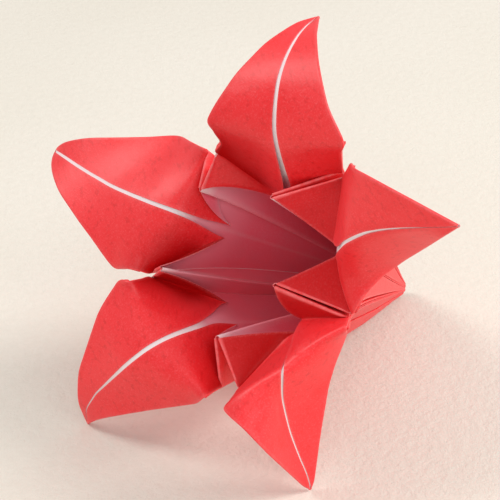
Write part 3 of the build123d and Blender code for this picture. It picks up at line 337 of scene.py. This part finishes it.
# ---- meshes ----------------------------------------------------------------
class Sheet:
    """Thin closed sheets of paper, collected into one mesh.  Slot 0 is the red
    side, slot 1 the white side and slot 2 the cut edge."""

    def __init__(self):
        self.v, self.f, self.mat, self.wear_and_painted_shade = [], [], [], []
        self.count = 0

    def add(self, points, faces, wear_and_painted_shade, thick, red_up=True, rim_mat=2):
        points = np.asarray(points, float)
        faces = np.asarray(faces, int)
        wear_and_painted_shade = np.asarray(wear_and_painted_shade, float)
        n = np.zeros_like(points)
        quads = points[faces]
        fn = np.cross(quads[:, 2] - quads[:, 0], quads[:, 3] - quads[:, 1])
        for c in range(4):
            np.add.at(n, faces[:, c], fn)
        n = unit(n)
        thick = np.broadcast_to(np.asarray(thick, float), (len(points),))[:, None]
        top, low = points + n * thick / 2, points - n * thick / 2
        base, size = self.count, len(points)
        self.v += [top, low]
        self.wear_and_painted_shade += [wear_and_painted_shade, wear_and_painted_shade]
        self.count += 2 * size
        self.f.append(faces + base)
        self.mat.append(np.full(len(faces), 0 if red_up else 1))
        self.f.append(faces[:, ::-1] + base + size)
        self.mat.append(np.full(len(faces), 1 if red_up else 0))
        edges = {}
        for q in faces.tolist():
            for c in range(4):
                a, b = q[c], q[(c + 1) % 4]
                if a != b:
                    edges[(a, b)] = edges.get((a, b), 0) + 1
        rim = [(b + base, a + base, a + base + size, b + base + size) for (a, b) in edges if (b, a) not in edges]
        if rim:
            self.f.append(np.array(rim))
            self.mat.append(np.full(len(rim), rim_mat))

    def loft(self, loops, wear_and_painted_shade, mats):
        """Closed loops of points along a length, joined into a tube; its ends are left open."""
        loops = np.asarray(loops, float)
        rows, cols = loops.shape[:2]
        base = self.count
        self.v.append(loops.reshape(-1, 3))
        self.wear_and_painted_shade.append(np.asarray(wear_and_painted_shade, float).reshape(-1, 4))
        self.count += rows * cols
        r, c = np.meshgrid(np.arange(rows - 1), np.arange(cols), indexing="ij")
        c2 = (c + 1) % cols
        q = np.stack([r * cols + c, r * cols + c2, (r + 1) * cols + c2, (r + 1) * cols + c], axis=-1).reshape(-1, 4)
        self.f.append(q + base)
        self.mat.append(np.tile(mats, rows - 1))
        return base, rows, cols

    def build(self, name, materials, angle=38.0):
        verts = np.concatenate(self.v) * 0.001
        wear_and_painted_shade = np.concatenate(self.wear_and_painted_shade)
        faces, mats = [], []
        for f, m in zip(self.f, self.mat):
            for q, k in zip(f.tolist(), m.tolist()):
                p = [q[0]]
                for x in q[1:]:
                    if x != p[-1]:
                        p.append(x)
                if p[0] == p[-1]:
                    p.pop()
                if len(p) >= 3 and len(set(p)) == len(p):
                    faces.append(p)
                    mats.append(k)
        me = bpy.data.meshes.new(name)
        me.from_pydata(verts.tolist(), [], faces)
        me.polygons.foreach_set("material_index", mats)
        att = me.color_attributes.new("wear_and_painted_shade", "FLOAT_COLOR", "POINT")
        att.data.foreach_set("color", wear_and_painted_shade.ravel())
        me.validate()
        me.update()
        me.shade_smooth()
        me.set_sharp_from_angle(angle=math.radians(angle))
        for m in materials:
            me.materials.append(m)
        ob = bpy.data.objects.new(name, me)
        bpy.context.scene.collection.objects.link(ob)
        return ob


def grid_faces(ids):
    """Quads of a grid of vertex ids; ids below zero are holes."""
    q = np.stack([ids[:-1, :-1], ids[:-1, 1:], ids[1:, 1:], ids[1:, :-1]], axis=-1).reshape(-1, 4)
    return q[(q >= 0).all(axis=1)]


def smooth01(x):
    x = np.clip(x, 0, 1)
    return x * x * (3 - 2 * x)


def tape(a):
    """Plies lie closer together towards the funnel's point."""
    return np.clip(np.asarray(a, float) / 0.25, 0.35, 1.0)


# ---- the wall: five white-sided pages joined by pleats ----------------------
def build_wall():
    sheet = Sheet()
    low = np.linspace(0.03, OT, 74)
    high = OT + (OC - OT) * (np.arange(1, 97) / 96.0)
    high[-1] = OC - 0.004
    nt, npl, ncap = 29, 8, 7
    pts, wear_and_painted_shade, ids = [], [], {}

    def vert(key, p, w):
        if key not in ids:
            ids[key] = len(pts)
            pts.append(p)
            wear_and_painted_shade.append(w)
        return ids[key]

    faces = []
    for i in range(5):
        a = np.concatenate([low, high])
        t = np.linspace(-1, 1, nt)
        inset = np.where(a > OT, np.minimum(0.26 / APOTHEM / np.maximum(half_width(a), 1e-6), 0.7), 0.0)
        ease = smooth01((a - OT) / 0.012)
        tt = t[None, :] * (1 - inset * ease)[:, None]
        p = page(i, a[:, None], tt)
        idg = np.empty(p.shape[:2], int)
        for r in range(len(a)):
            for c in range(nt):
                fold = math.exp(-((t[c] * half_width(a[r]) * APOTHEM) / 0.22) ** 2)
                edge = math.exp(-(((1 - abs(t[c])) * half_width(a[r]) * APOTHEM) / 0.25) ** 2)
                idg[r, c] = vert(("p", i, r, c), p[r, c], (0.5 * fold + 0.4 * edge * (a[r] < OT), 0.0, max(0.0, 1 - a[r] / OT), 0.0))
        faces.append(grid_faces(idg))
    for k in range(5):
        i, j = k, (k + 1) % 5
        away = pleat_away(k)
        n = len(low)
        idg = np.empty((n, 2 * npl + ncap), int)
        for r, a in enumerate(low):
            share = a / OT
            top = ridge(k, share)
            h = RIDGE_HALF[k] * (0.3 + 0.7 * share)
            e, f = page(i, a, 1.0), page(j, a, -1.0)
            rise = unit(top - 0.5 * (e + f))
            w0 = max(0.0, 1 - a / OT)
            line = []
            for c in range(npl):
                u = c / npl
                line.append((e * (1 - u) + (top - away * h) * u, ("p", i, r, nt - 1) if c == 0 else ("l", k, r, c), 0.0))
            for c in range(ncap):
                g = math.pi * c / (ncap - 1)
                line.append((top - away * h * math.cos(g) + rise * h * 0.75 * math.sin(g), ("c", k, r, c), 0.6))
            for c in range(npl):
                u = (npl - 1 - c) / npl
                line.append((f * (1 - u) + (top + away * h) * u, ("p", j, r, 0) if c == npl - 1 else ("m", k, r, c), 0.0))
            for c, (q, key, w) in enumerate(line):
                idg[r, c] = vert(key, q, (w, 0.0, w0, 0.0))
        faces.append(grid_faces(idg))
    pts = np.array(pts)
    faces = np.concatenate(faces)
    wear_and_painted_shade = np.array(wear_and_painted_shade)
    # which way do the faces point
    f = faces[(len(low) // 2) * (nt - 1) + nt // 2]
    q = pts[f]
    n = np.cross(q[2] - q[0], q[3] - q[1])
    if n @ norm(0, low[len(low) // 2], 0.0) < 0:
        faces = faces[:, ::-1]
    sheet.add(pts, faces, wear_and_painted_shade, PAPER, red_up=False)
    return sheet


# ---- red skin of each petal half: front ply, folded edge and back -----------
def build_half(i, s):
    k = i if s > 0 else (i - 1) % 5
    side = 0 if s > 0 else 1
    away = pleat_away(k) * (1 if s > 0 else -1)       # from this petal's edge into the pleat
    corner = ROOT_CORNERS[i, side] + BACK * LIFT[i][side]
    half_way = EDGE_MIDS[i, side] + BACK * LIFT[i][side] * 0.5
    NP, NTURN, NBACK = 22, 8, 20
    low = np.linspace(0.03, OT, 60)
    M1, M2, M3 = 6, 18, 110
    v = (np.arange(M3) + 1) / M3
    v = v * 0.9985
    out = OT + v * (OC - OT)

    def turn(a, frac):
        """The folded edge: frac 0 is the front or pleat side, 1 the back."""
        a = np.asarray(a, float)
        b = half_width(a) * APOTHEM
        g = GAP * tape(a)
        inset = np.minimum(g * 0.6 / np.maximum(b, 1e-6), 0.6)
        c = page(i, a, s * (1 - inset))
        n, d = norm(i, a, s * (1 - inset)), across(i, s, a)
        start = (math.pi / 2) * (1 - smooth01((a - OT) / 0.02))
        ph = start + (math.pi - start) * frac
        # below the root, the front direction is into the pleat
        lean = smooth01((OT + 0.02 - a) / 0.02)
        dd = unit(d * (1 - lean)[..., None] + away * lean[..., None])
        return c + g[..., None] * (n * np.cos(ph)[..., None] + dd * np.sin(ph)[..., None])

    # back system: rows low + out, columns turn then back
    rows_a = np.concatenate([low, out])
    cols = []
    for c in range(NTURN + 1):
        cols.append(turn(rows_a, np.full(len(rows_a), c / NTURN)))
    b = half_width(rows_a) * APOTHEM
    g = GAP * tape(rows_a)
    inset = np.minimum(g * 0.6 / np.maximum(b, 1e-6), 0.6)
    t_in = np.minimum(0.05 / np.maximum(b, 1e-6), 0.5 * (1 - inset))
    for c in range(1, NBACK + 1):
        u = c / NBACK
        t = (1 - inset) * (1 - u) + t_in * u
        cols.append(page(i, rows_a, s * t) - norm(i, rows_a, s * t) * g[:, None])
    back = np.stack(cols, axis=1)

    # front system
    front = []
    kinds = []
    edge = page(i, low, float(s))
    for r, a in enumerate(low):
        share = a / OT
        g0 = GAP * float(tape(a))
        top = ridge(k, share) - away * max(RIDGE_HALF[k] * (0.3 + 0.7 * share) - g0, 0.09)
        start = back[r, 0]
        u = np.linspace(1, 0, NP + 1)[:, None]
        reach = (top - start)
        front.append(start + reach * u * 0.985)
        kinds.append("plate")
    xv = back[len(low) - 1, 0]
    tv = front[-1][0]
    along = unit(tv - xv)
    rise = unit(edge[-1] - edge[-8])
    rise = unit(rise - along * (rise @ along))
    # the fold over the pleat's end, from the slit to the triangle
    tri = corner - tv
    tri = tri - along * (tri @ along)
    tri = unit(tri)
    nv = away - along * (away @ along)
    nv = unit(nv - rise * (nv @ rise))
    psi_end = math.atan2(float(tri @ -nv), float(tri @ rise))
    if psi_end < 0:
        psi_end += 2 * math.pi if psi_end < -math.pi / 2 else 0
    psi_end = min(max(psi_end, 0.35), math.pi * 0.98)
    xt = np.linalg.norm(tv - xv)
    u = np.linspace(1, 0, NP + 1)
    taper = np.clip(u * xt / 1.2, 0, 1)
    centre = front[-1] - nv * GAP * taper[:, None]
    for m in range(1, M1 + 1):
        ps = psi_end * m / M1 * taper
        front.append(centre + GAP * taper[:, None] * (nv * np.cos(ps)[:, None] + rise * np.sin(ps)[:, None]))
        kinds.append("fold")
    last = front[-1]
    # the triangle, a fan round the corner of the root
    q0 = last[0]
    bend = half_way - 0.5 * (q0 + corner)
    for m in range(1, M2 + 1):
        q = m / M2
        Q = q0 * (1 - q) + corner * q + bend * 4 * q * (1 - q)
        line = xv + (Q - xv) * u[:, None]
        keep = (1 - q) ** 3
        line = line + (last - (xv + (q0 - xv) * u[:, None])) * keep
        front.append(line)
        kinds.append("tri")
    # up the petal
    w = np.linspace(0, 1, NP + 1)
    aR = ROOT_AT[i][side]
    gaps = np.interp(np.concatenate([[0], v]), np.linspace(0, 1, 6), STRIPE[i])
    vv = np.concatenate([[0], v])
    a_out = OT + vv * (OC - OT)
    a_raw = aR + vv * (OC - aR)
    b_out = half_width(a_out) * APOTHEM
    b_out = b_out - np.minimum(GAP * 0.6, 0.6 * b_out)
    gaps = np.minimum(gaps, 0.45 * b_out)
    A = a_raw[:, None] + (a_out - a_raw)[:, None] * w
    B = gaps[:, None] + (b_out - gaps)[:, None] * w
    T = np.clip(B / np.maximum(half_width(A) * APOTHEM, 1e-6), 0, 1)
    base = page(i, A, s * T) + norm(i, A, s * T) * (GAP * (1.0 - 0.25 * (1 - w)))[None, :, None]
    fix = back[len(low):, 0] - base[1:, -1]
    base[1:] += fix[:, None, :] * (w ** 6)[None, :, None]
    row0 = corner + (xv - corner) * w[:, None]
    D0 = row0 - base[0]
    fall = np.exp(-(vv / FALL[i][side]) ** 2)
    # the lift is carried up the petal in the petal's own directions
    Nf = norm(i, A, s * T)
    Lf = unit(page(i, np.minimum(A + 0.004, OC), s * T) - page(i, A - 0.004, s * T))
    Lf = unit(Lf - Nf * np.sum(Lf * Nf, axis=-1, keepdims=True))
    Cf = np.cross(Nf, Lf)
    dn, dl, dc = (np.sum(D0 * f[0], axis=-1)[None, :] for f in (Nf, Lf, Cf))
    hold = (1 - (w ** 6)[None, :] * (vv > 0)[:, None]) * fall[:, None]
    slide = (1 - (w ** 6)[None, :] * (vv > 0)[:, None]) * np.exp(-(vv / SLIDE[i][side]) ** 2)[:, None]
    lift = np.where(vv[:, None] > 0, np.maximum(dn, 0.0), dn) * hold
    rows = base + Nf * lift[..., None] + Lf * (dl * slide)[..., None] + Cf * (dc * slide)[..., None]
    n0 = len(front)
    for m in range(1, len(vv)):
        front.append(rows[m])
        kinds.append("front")
    front = np.array(front)
    # soften the bend at the root, away from the edges
    soft = BEND[i]
    if soft > 0:
        lo, hi = n0 - M2 + 2, n0 + 34
        turns = int(80 * soft)
        for turn_no in range(turns):
            seg = front[lo - 1:hi + 1]
            avg = 0.5 * (seg[:-2] + seg[2:])
            wt = (np.clip(w / 0.12, 0, 1) * np.clip((1 - w) / 0.12, 0, 1))[None, :, None] * 0.5
            front[lo:hi] = front[lo:hi] * (1 - wt) + avg * wt
            # the ply stays in front of the wall
            Aw, Tw = A[1:hi - n0 + 1], T[1:hi - n0 + 1]
            if turn_no % 5 == 0 or turn_no == turns - 1:
                Pw, Nw = page(i, Aw, s * Tw), norm(i, Aw, s * Tw)
                d = np.sum((front[n0:hi] - Pw) * Nw, axis=-1)
                push = np.maximum(0, GAP * (1.0 - 0.25 * (1 - w)) - d) * (w < 0.999)
                front[n0:hi] += Nw * push[..., None]

    # ids
    nf, ncol = front.shape[:2]
    pts = [front.reshape(-1, 3), back[:, 1:].reshape(-1, 3)]
    fid = np.arange(nf * ncol).reshape(nf, ncol)
    nb = back.shape[1] - 1
    bid = nf * ncol + np.arange(len(rows_a) * nb).reshape(len(rows_a), nb)
    L = len(low)
    # fold and triangle rows share the root corner
    fid[L:n0, -1] = fid[L - 1, -1]
    lead = np.concatenate([fid[:L, -1], fid[n0:, -1]])[:, None]
    ids_back = np.concatenate([lead, bid], axis=1)
    faces = np.concatenate([grid_faces(fid), grid_faces(ids_back)])
    P = np.concatenate(pts)
    # wear and painted shade: folded edges, creases and cut edges, with the shade painted at the roots in the last
    # channel
    wf = np.zeros((nf, ncol, 4))
    # painted shade: the red is painted darker at this root, by the pleat, at the fold and up the page, where shade
    # falls
    shade_by_pleat, shade_at_fold, shade_on_page, reach_up = ROOT_PAINTED_SHADE[i][side]
    for r in range(nf):
        kd = kinds[r]
        if kd == "plate":
            wf[r, :, 0] = 0.6 if r == L - 1 else 0.05
            wf[r, :, 2] = 1.0
        elif kd == "fold":
            wf[r, :, 0] = 1.0
        elif kd == "tri":
            q = (r - L - M1 + 1) / M2
            d = q * np.linalg.norm(corner - q0) * u
            wf[r, :, 0] = 0.6 * np.exp(-(d / 0.16) ** 2)
            wf[r, :, 1] = np.exp(-(w * xt / 0.2) ** 2)
            wf[r, :, 2] = 0.6 * (1 - q)
            # painted shade across the triangle, from the pleat to the fold
            wf[r, :, 3] = shade_by_pleat * (1 - q) + shade_at_fold * q
        else:
            d_out = (b_out[r - n0 + 1] - gaps[r - n0 + 1]) * (1 - w)
            d_raw = (b_out[r - n0 + 1] - gaps[r - n0 + 1]) * w
            wf[r, :, 0] = 0.30 * np.exp(-(d_out / 0.12) ** 2)
            wf[r, :, 1] = np.exp(-(d_raw / 0.14) ** 2)
            # painted shade on the page, fading up the petal from the root
            wf[r, :, 3] = shade_on_page * math.exp(-(vv[r - n0 + 1] / reach_up) ** 2) * smooth01(w / 0.4)
            if i == 2:
                wf[r, :, 0] = np.maximum(wf[r, :, 0], 0.8 * math.exp(-(vv[r - n0 + 1] / 0.012) ** 2))
    wb = np.zeros((len(rows_a), nb, 4))
    for c in range(nb):
        if c < NTURN:
            wb[:, c, 0] = np.where(rows_a > OT, 0.30, 0.45)
        else:
            uu = (c + 1 - NTURN) / NBACK
            d = uu * b
            dm = (1 - uu) * b
            wb[:, c, 0] = np.maximum(np.where(rows_a > OT, 0.30, 0.45) * np.exp(-(d / 0.12) ** 2), 0.40 * np.exp(-(dm / 0.2) ** 2))
    W = np.concatenate([wf.reshape(-1, 4), wb.reshape(-1, 4)])
    # orientation: the red side of the front ply looks the way the page does
    r, c = n0 + 60, NP // 2
    e1 = front[r, c + 1] - front[r, c]
    e2 = front[r + 1, c] - front[r, c]
    f = np.array([fid[r, c], fid[r, c + 1], fid[r + 1, c + 1], fid[r + 1, c]])
    q = P[f]
    n = np.cross(q[2] - q[0], q[3] - q[1])
    if n @ norm(i, a_out[r - n0 + 1], s * 0.5) < 0:
        faces = faces[:, ::-1]
    return P, faces, W


# ---- flaps on the back of each petal ---------------------------------------
def build_flaps(sheet, i, s):
    for inner, outer, back_off, short in ((0.29, 0.43, 0.30, 0.0), (0.46, 0.60, 0.10, 0.22)):
        a = np.concatenate([np.linspace(0.03, FLAP_END, 70), np.linspace(FLAP_END, OW - 0.004, 26)[1:]])
        b = half_width(a) * APOTHEM
        b_free = np.where(a <= FLAP_END, 0.06, (a - FLAP_END) / (OW - FLAP_END) * OW * NARROW * APOTHEM)
        b_free = np.minimum(b_free + short, b - 0.05)
        g = tape(a)
        nc = 18
        u = np.linspace(0, 1, nc)
        B = b_free[:, None] + (b - b_free)[:, None] * u
        T = B / b[:, None]
        P = page(i, a[:, None], s * T)
        N = norm(i, a[:, None], s * T)
        d = across(i, s, a)
        out_side = P - N * (outer * g)[:, None, None]
        in_side = P - N * (inner * g)[:, None, None]
        r = (outer - inner) / 2 * g
        mid = 0.5 * (out_side[:, -1] + in_side[:, -1])
        arc = []
        for m in range(1, 6):
            ph = math.pi * m / 6
            nn = N[:, -1]
            arc.append(mid - nn * (r * math.cos(ph))[:, None] + d * (r * 1.1 * math.sin(ph))[:, None])
        arc = np.stack(arc, axis=1)
        loops = np.concatenate([out_side, arc, in_side[:, ::-1]], axis=1)
        cols = loops.shape[1]
        wear_and_painted_shade = np.zeros((len(a), cols, 4))
        edge = np.exp(-((b[:, None] - B) / 0.15) ** 2)
        free = np.exp(-((B - b_free[:, None]) / 0.14) ** 2)
        wear_and_painted_shade[:, :nc, 0] = np.maximum(0.45 * edge, 0.35 * free)
        wear_and_painted_shade[:, nc:nc + 5, 0] = 0.5
        wear_and_painted_shade[:, nc + 5:, 0] = wear_and_painted_shade[:, :nc, 0][:, ::-1]
        mats = [0] * (nc - 1) + [0] * 6 + [0] * (nc - 1) + [0]
        base, rows, cols = sheet.loft(loops, wear_and_painted_shade, mats)
        # flat ends
        for row, flip in ((0, True), (rows - 1, False)):
            m = cols // 2
            for c in range(nc - 1):
                x0, x1 = c, c + 1
                y0, y1 = cols - 1 - c, cols - 2 - c
                q = [base + row * cols + n for n in (x0, x1, y1, y0)]
                sheet.f.append(np.array([q if not flip else q[::-1]]))
                sheet.mat.append(np.array([2]))
            ring = [base + row * cols + n for n in range(nc - 1, nc + 6)]
            for n in range(1, len(ring) - 1):
                q = [ring[0], ring[n], ring[n + 1], ring[n + 1]]
                sheet.f.append(np.array([q if not flip else [q[0], q[2], q[1], q[1]]]))
                sheet.mat.append(np.array([2]))


# ---- materials ---------------------------------------------------------------
def nodes_of(name):
    m = bpy.data.materials.new(name)
    m.use_nodes = True
    nt = m.node_tree
    for n in list(nt.nodes):
        nt.nodes.remove(n)
    out = nt.nodes.new("ShaderNodeOutputMaterial")
    sh = nt.nodes.new("ShaderNodeBsdfPrincipled")
    nt.links.new(sh.outputs["BSDF"], out.inputs["Surface"])
    return m, nt, sh


def noise(nt, scale, detail=2.0, rough=0.5, stretch=None, distortion=0.0):
    co = nt.nodes.new("ShaderNodeTexCoord")
    n = nt.nodes.new("ShaderNodeTexNoise")
    n.inputs["Scale"].default_value = scale
    n.inputs["Detail"].default_value = detail
    n.inputs["Roughness"].default_value = rough
    n.inputs["Distortion"].default_value = distortion
    src = co.outputs["Object"]
    if stretch:
        mp = nt.nodes.new("ShaderNodeMapping")
        mp.inputs["Scale"].default_value = stretch[0]
        mp.inputs["Rotation"].default_value = stretch[1]
        nt.links.new(src, mp.inputs["Vector"])
        src = mp.outputs["Vector"]
    nt.links.new(src, n.inputs["Vector"])
    return n.outputs["Fac"]


def span(nt, src, a, b, c=0.0, d=1.0):
    m = nt.nodes.new("ShaderNodeMapRange")
    m.inputs["From Min"].default_value = a
    m.inputs["From Max"].default_value = b
    m.inputs["To Min"].default_value = c
    m.inputs["To Max"].default_value = d
    nt.links.new(src, m.inputs["Value"])
    return m.outputs["Result"]


def math_node(nt, op, a, b=None):
    m = nt.nodes.new("ShaderNodeMath")
    m.operation = op
    for n, x in enumerate((a, b)):
        if x is None:
            continue
        if isinstance(x, (int, float)):
            m.inputs[n].default_value = x
        else:
            nt.links.new(x, m.inputs[n])
    return m.outputs["Value"]


def mix_colour(nt, fac, a, b, mode="MIX"):
    m = nt.nodes.new("ShaderNodeMix")
    m.data_type = "RGBA"
    m.blend_type = mode
    m.clamp_factor = True
    if isinstance(fac, (int, float)):
        m.inputs["Factor"].default_value = fac
    else:
        nt.links.new(fac, m.inputs["Factor"])
    for n, x in ((6, a), (7, b)):
        if isinstance(x, tuple):
            m.inputs[n].default_value = (*x, 1.0)
        else:
            nt.links.new(x, m.inputs[n])
    return m.outputs[2]


# the attribute holds fold wear, cut edge, depth in the funnel and, in alpha, the painted root shade
def wear_and_painted_shade_of(nt):
    at = nt.nodes.new("ShaderNodeAttribute")
    at.attribute_name = "wear_and_painted_shade"
    sp = nt.nodes.new("ShaderNodeSeparateColor")
    nt.links.new(at.outputs["Color"], sp.inputs["Color"])
    return sp.outputs["Red"], sp.outputs["Green"], sp.outputs["Blue"], at.outputs["Alpha"]


def bump(nt, sh, height, distance, strength=1.0, after=None):
    b = nt.nodes.new("ShaderNodeBump")
    b.inputs["Strength"].default_value = strength
    b.inputs["Distance"].default_value = distance
    nt.links.new(height, b.inputs["Height"])
    if after is not None:
        nt.links.new(after, b.inputs["Normal"])
    nt.links.new(b.outputs["Normal"], sh.inputs["Normal"])
    return b.outputs["Normal"]


def red_paper():
    m, nt, sh = nodes_of("red_side")
    fold, cut, deep, painted_root_shade = wear_and_painted_shade_of(nt)
    grain = noise(nt, 4200.0, 3.0, 0.65)
    fibre = noise(nt, 1500.0, 3.0, 0.6, ((1.0, 0.35, 1.0), (0.5, 0.3, 0.9)))
    blotch = noise(nt, 420.0, 2.0, 0.55)
    cloud = noise(nt, 95.0, 2.0, 0.5)
    c = mix_colour(nt, span(nt, cloud, 0.35, 0.65), RED_A, RED_B)
    c = mix_colour(nt, span(nt, blotch, 0.42, 0.72, 0.0, 0.35), c, RED_C)
    c = mix_colour(nt, span(nt, grain, 0.50, 0.72, 0.0, 0.60), c, RED_D)
    c = mix_colour(nt, span(nt, fibre, 0.54, 0.70, 0.0, 0.55), c, RED_E)
    # painted shade: the red is darkened at the roots, standing in for the shade that falls there
    c = mix_colour(nt, painted_root_shade, c, RED_PAINTED_SHADE)
    worn = math_node(nt, "MULTIPLY", fold, span(nt, noise(nt, 900.0, 2.0, 0.6), 0.30, 0.62, 0.12, 0.42))
    c = mix_colour(nt, worn, c, WORN)
    edge = math_node(nt, "MULTIPLY", cut, span(nt, grain, 0.35, 0.6, 0.04, 0.20))
    c = mix_colour(nt, edge, c, WORN)
    nt.links.new(c, sh.inputs["Base Color"])
    nt.links.new(span(nt, grain, 0.3, 0.7, 0.36, 0.50), sh.inputs["Roughness"])
    sh.inputs["IOR"].default_value = 1.5
    # the painted root shade also turns the specular down, so no highlight shows there
    nt.links.new(span(nt, painted_root_shade, 0.0, 1.0, 0.60, 0.05), sh.inputs["Specular IOR Level"])
    sh.inputs["Sheen Weight"].default_value = 0.02
    sh.inputs["Sheen Roughness"].default_value = 0.45
    sh.inputs["Sheen Tint"].default_value = (1.0, 0.62, 0.62, 1.0)
    h = math_node(nt, "ADD", math_node(nt, "MULTIPLY", grain, 0.7), math_node(nt, "MULTIPLY", fibre, 0.6))
    n1 = bump(nt, sh, h, 0.00005, 0.7)
    bump(nt, sh, cloud, 0.00045, 0.35, n1)
    return m


def white_paper():
    m, nt, sh = nodes_of("white_side")
    fold, cut, deep, painted_root_shade = wear_and_painted_shade_of(nt)
    grain = noise(nt, 3800.0, 3.0, 0.6)
    blotch = noise(nt, 300.0, 2.0, 0.5)
    # painted reflected light and shade: deeper in the funnel the white side is painted pink, then mauve-red, darker
    # and mottled, standing in for red light bounced off the paper and the shade inside
    c = mix_colour(nt, span(nt, deep, 0.0, 0.06), WHITE_A, WHITE_B)
    c = mix_colour(nt, span(nt, deep, 0.07, 0.26), c, WHITE_C)
    inside = span(nt, deep, 0.05, 0.25)
    c = mix_colour(nt, math_node(nt, "MULTIPLY", inside, span(nt, blotch, 0.40, 0.68, 0.0, 0.30)), c, WHITE_D)
    c = mix_colour(nt, math_node(nt, "MULTIPLY", inside, span(nt, grain, 0.45, 0.75, 0.0, 0.25)), c, WHITE_E)
    worn = math_node(nt, "MULTIPLY", fold, span(nt, grain, 0.3, 0.6, 0.16, 0.34))
    c = mix_colour(nt, worn, c, (0.90, 0.66, 0.68))
    nt.links.new(c, sh.inputs["Base Color"])
    nt.links.new(span(nt, grain, 0.3, 0.7, 0.62, 0.78), sh.inputs["Roughness"])
    sh.inputs["Specular IOR Level"].default_value = 0.35
    sh.inputs["Sheen Weight"].default_value = 0.15
    sh.inputs["Sheen Roughness"].default_value = 0.5
    n1 = bump(nt, sh, grain, 0.00003, 0.5)
    bump(nt, sh, blotch, 0.00025, 0.3, n1)
    return m


def cut_edge():
    m, nt, sh = nodes_of("cut_edge")
    grain = noise(nt, 5000.0, 2.0, 0.6)
    c = mix_colour(nt, span(nt, grain, 0.35, 0.65), (0.78, 0.12, 0.14), (0.86, 0.30, 0.32))
    nt.links.new(c, sh.inputs["Base Color"])
    nt.links.new(span(nt, grain, 0.3, 0.7, 0.75, 0.9), sh.inputs["Roughness"])
    bump(nt, sh, grain, 0.00002, 0.4)
    return m


RED_A, RED_B = (0.92, 0.012, 0.018), (0.96, 0.022, 0.029)
RED_C, RED_D, RED_E = (0.97, 0.034, 0.044), (0.98, 0.110, 0.125), (0.72, 0.003, 0.005)
RED_PAINTED_SHADE = (0.44, 0.0006, 0.0010)          # painted shade: the darker red painted near the roots, where shade falls
WORN = (0.90, 0.34, 0.35)
# WHITE_A is the white side itself; WHITE_B to WHITE_E are painted red bounce light and shade for inside the funnel
WHITE_A, WHITE_B, WHITE_C = (0.97, 0.91, 0.93), (0.92, 0.36, 0.45), (0.94, 0.15, 0.23)
WHITE_D, WHITE_E = (0.82, 0.21, 0.28), (0.94, 0.34, 0.41)

red, white, cut = red_paper(), white_paper(), cut_edge()
mats = [red, white, cut]

# ---- pieces ------------------------------------------------------------------
pieces = []
wall = build_wall()
pieces.append(wall.build("funnel_and_petals", mats, 30.0))
for i in range(5):
    sheet = Sheet()
    for s in (1, -1):
        P, F, W = build_half(i, s)
        sheet.add(P, F, W, PAPER, red_up=True)
    for s in (1, -1):
        build_flaps(sheet, i, s)
    pieces.append(sheet.build("petal_plies_%d" % (i + 1), mats, 42.0))

for ob in pieces:
    bm = bmesh.new()
    bm.from_mesh(ob.data)
    bmesh.ops.recalc_face_normals(bm, faces=bm.faces)
    bm.to_mesh(ob.data)
    bm.free()
    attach(ob, "root")
    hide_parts("folded_sheet")

# ---- floor -------------------------------------------------------------------
bpy.ops.mesh.primitive_plane_add(size=6.0, location=(0, 1.2, 0))
floor = bpy.context.object
floor.name = "floor"
fm, nt, sh = nodes_of("pale_floor")
fine = noise(nt, 700.0, 3.0, 0.6)
wide = noise(nt, 14.0, 2.0, 0.5)
c = mix_colour(nt, span(nt, wide, 0.35, 0.65), (0.79, 0.745, 0.665), (0.815, 0.77, 0.695))
c = mix_colour(nt, span(nt, fine, 0.40, 0.70, 0.0, 0.30), c, (0.73, 0.68, 0.60))
nt.links.new(c, sh.inputs["Base Color"])
sh.inputs["Roughness"].default_value = 0.75
sh.inputs["Specular IOR Level"].default_value = 0.25
grit = noise(nt, 1900.0, 2.0, 0.6)
n1 = bump(nt, sh, fine, 0.0004, 0.45)
bump(nt, sh, grit, 0.00018, 0.45, n1)
floor.data.materials.append(fm)

bpy.context.scene.view_settings.view_transform = "Standard"

# ---- light -------------------------------------------------------------------
world = bpy.data.worlds.new("studio")
bpy.context.scene.world = world
world.use_nodes = True
bg = world.node_tree.nodes["Background"]
bg.inputs["Color"].default_value = (1.0, 0.99, 0.975, 1.0)
bg.inputs["Strength"].default_value = 0.52


def area(name, at, to, size, energy, colour=(1, 1, 1)):
    d = bpy.data.lights.new(name, "AREA")
    d.shape = "RECTANGLE"
    d.size, d.size_y = size
    d.energy = energy
    d.color = colour
    o = bpy.data.objects.new(name, d)
    bpy.context.scene.collection.objects.link(o)
    o.location = at
    o.rotation_mode = "QUATERNION"
    o.rotation_quaternion = (Vector(to) - Vector(at)).to_track_quat("-Z", "Y")
    return o


area("key", (0.52, -0.08, 0.42), (0, 0, 0.03), (0.22, 0.22), 2.5, (1.0, 0.985, 0.96))
area("front", (0.34, -0.36, 0.46), (0, 0, 0.03), (0.28, 0.28), 0.45, (1.0, 0.985, 0.96))
area("left", (-0.42, 0.12, 0.52), (0, 0, 0.03), (0.22, 0.22), 1.38, (1.0, 0.99, 0.97))
area("low", (0.0, -0.46, 0.49), (0, 0, 0.03), (0.30, 0.30), 0.45, (1.0, 0.985, 0.96))

# ---- camera ------------------------------------------------------------------
cam = bpy.data.cameras.new("photo_view")
cam.lens, cam.sensor_width = 108.0, 36.0
cam.clip_start, cam.clip_end = 0.01, 20.0
co = bpy.data.objects.new("photo_view", cam)
bpy.context.scene.collection.objects.link(co)
x, y, z = Vector(CAM_RIGHT), Vector(CAM_UP), Vector(CAM_BACK)
rot = Matrix((x, y, z)).transposed().to_4x4()
co.matrix_world = Matrix.Translation(Vector(CAM_AT) * 0.001) @ rot
bpy.context.scene.camera = co
